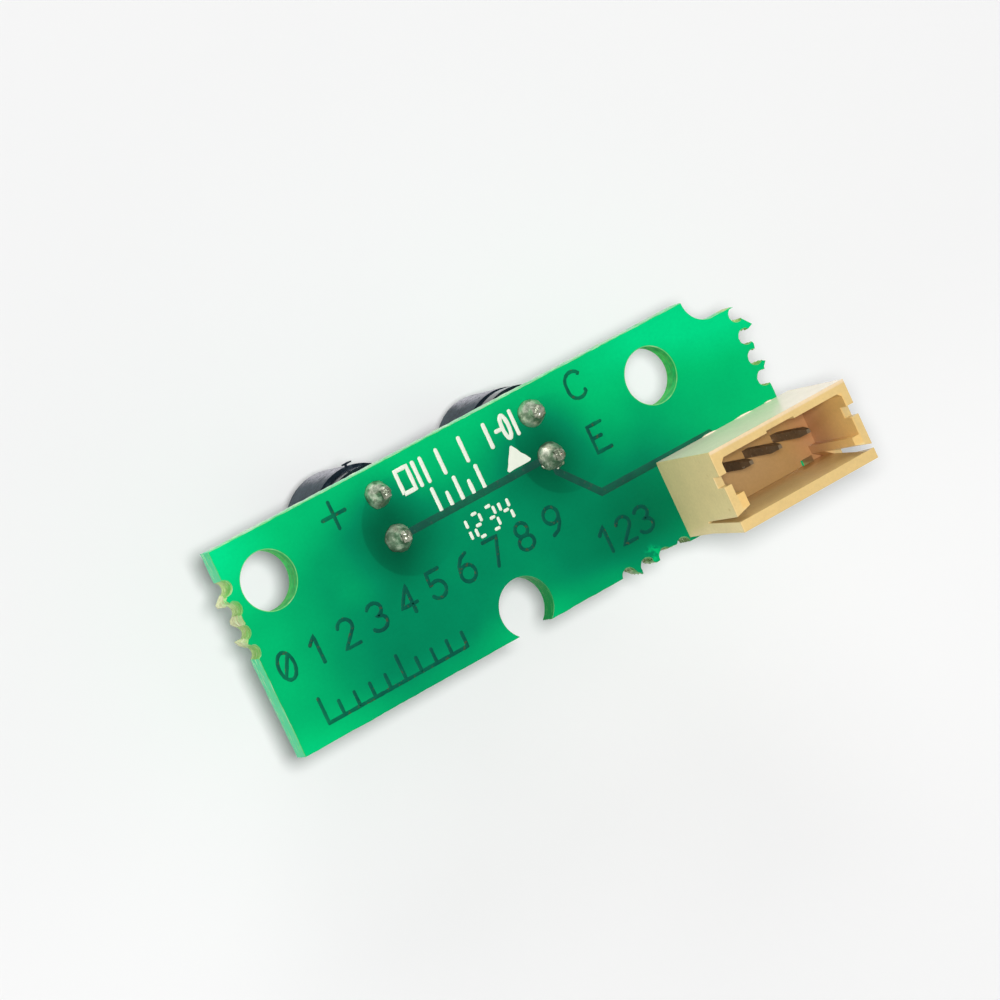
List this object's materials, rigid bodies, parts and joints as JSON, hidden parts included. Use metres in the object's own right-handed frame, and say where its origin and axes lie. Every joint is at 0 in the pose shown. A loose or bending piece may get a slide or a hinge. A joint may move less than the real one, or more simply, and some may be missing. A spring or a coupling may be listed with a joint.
{
  "type": "optical sensor board",
  "caption": "Small circuit board of a bill validator with an emitter and a receiver side by side in short sleeves, a three-way plug header and two fixing holes.",
  "frame": {"origin": "midway between the two fixing holes, on the board's front (soldered) face", "axes": "+X along the board towards the plug header, +Y across the board towards its plain long edge with the step, +Z out of the front face, so the sensor bodies point along -Z"},
  "size_m": [0.0357, 0.0124, 0.016],
  "materials": {
    "laminate": "glass-epoxy laminate, sheared and drilled edges",
    "solder_mask": "green liquid solder mask, semi-gloss",
    "copper": "copper foil and plating",
    "etched_copper": "copper foil seen through green mask",
    "ink": "white screen-printed ink",
    "housing": "cream nylon, moulded",
    "header_pin": "tinned brass, dulled",
    "solder": "tin solder with flux residue",
    "emitter_epoxy": "dark tinted clear epoxy, polished",
    "receiver_epoxy": "near-black infrared-passing epoxy, polished",
    "lead": "tinned lead frame",
    "chip": "semiconductor chip",
    "bond_wire": "gold bond wire",
    "sleeve": "black cut plastic tube, grainy"
  },
  "bodies": {
    "root": {"board_laminate": "laminate", "solder_mask_front": "solder_mask", "solder_mask_back": "solder_mask", "copper_front": "copper", "copper_back": "copper", "plated_holes": "copper", "etched_marks": "etched_copper", "ink_marks": "ink", "header_housing": "housing", "header_pin_1": "header_pin", "header_pin_2": "header_pin", "header_pin_3": "header_pin", "header_solder": "solder", "emitter_lens": "emitter_epoxy", "emitter_anode_lead": "lead", "emitter_cathode_lead": "lead", "emitter_chip": "chip", "emitter_bond_wire": "bond_wire", "emitter_sleeve": "sleeve", "emitter_solder": "solder", "receiver_lens": "receiver_epoxy", "receiver_collector_lead": "lead", "receiver_emitter_lead": "lead", "receiver_chip": "chip", "receiver_bond_wire": "bond_wire", "receiver_sleeve": "sleeve", "receiver_solder": "solder"}
  },
  "joints": []
}
